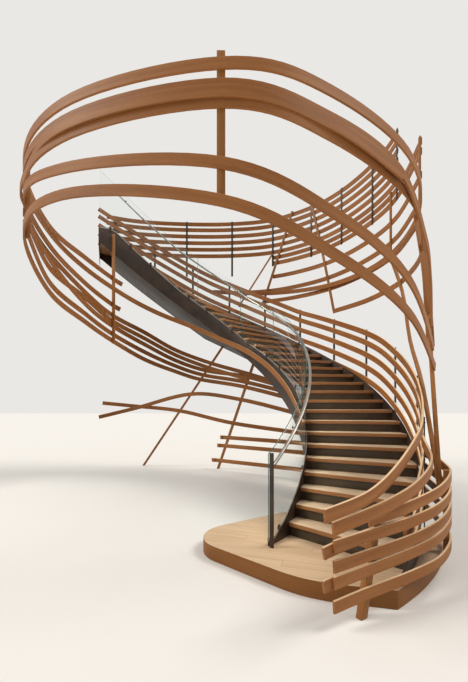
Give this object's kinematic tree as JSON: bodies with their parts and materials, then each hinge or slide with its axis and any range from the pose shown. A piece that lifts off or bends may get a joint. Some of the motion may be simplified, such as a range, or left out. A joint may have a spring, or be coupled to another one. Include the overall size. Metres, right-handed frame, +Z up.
{
  "type": "spiral staircase",
  "caption": "Curved oak and steel stair with closed risers, a glass inner guard and bent oak ribbons that wind up around the flight to the rim of a round floor opening.",
  "frame": {"origin": "on the floor, at the middle of the underside of the base plate under the first riser", "axes": "+Z up; the entry is towards -Y, the axis of the flight's curve is towards -X and +Y, and the flight climbs counter-clockwise seen from above"},
  "size_m": [6.6157, 8.2043, 6.8726],
  "materials": {
    "oak": "satin oiled oak",
    "dark_steel": "patinated and waxed steel",
    "glass": "clear laminated glass",
    "brushed_steel": "brushed"
  },
  "bodies": {
    "root": {"base_plate": "dark_steel", "entry_platform": "oak", "lower_treads": "oak", "middle_treads": "oak", "upper_treads": "oak", "lower_risers": "dark_steel", "middle_risers": "dark_steel", "upper_risers": "dark_steel", "inner_stringer": "dark_steel", "outer_stringer": "dark_steel", "soffit_plate": "dark_steel", "landing_flange": "dark_steel", "glass_panels": "glass", "glass_clamps": "brushed_steel", "handrail": "brushed_steel", "rail_brackets": "brushed_steel", "end_post": "dark_steel", "guard_ribbon_1": "oak", "guard_ribbon_2": "oak", "guard_ribbon_3": "oak", "guard_ribbon_4": "oak", "guard_ribbon_5": "oak", "guard_posts": "dark_steel", "entry_ribbons": "oak", "entry_posts": "oak", "low_ribbon_1": "oak", "low_ribbon_2": "oak", "whirl_ribbon_1": "oak", "whirl_ribbon_2": "oak", "whirl_ribbon_3": "oak", "front_hanger": "oak", "left_hangers": "oak", "rim_ribbons_upper": "oak", "rim_ribbons_lower": "oak", "rim_posts": "dark_steel", "rim_laths": "oak", "right_props": "oak", "back_props": "oak", "lattice_ribbons": "oak"}
  },
  "joints": []
}
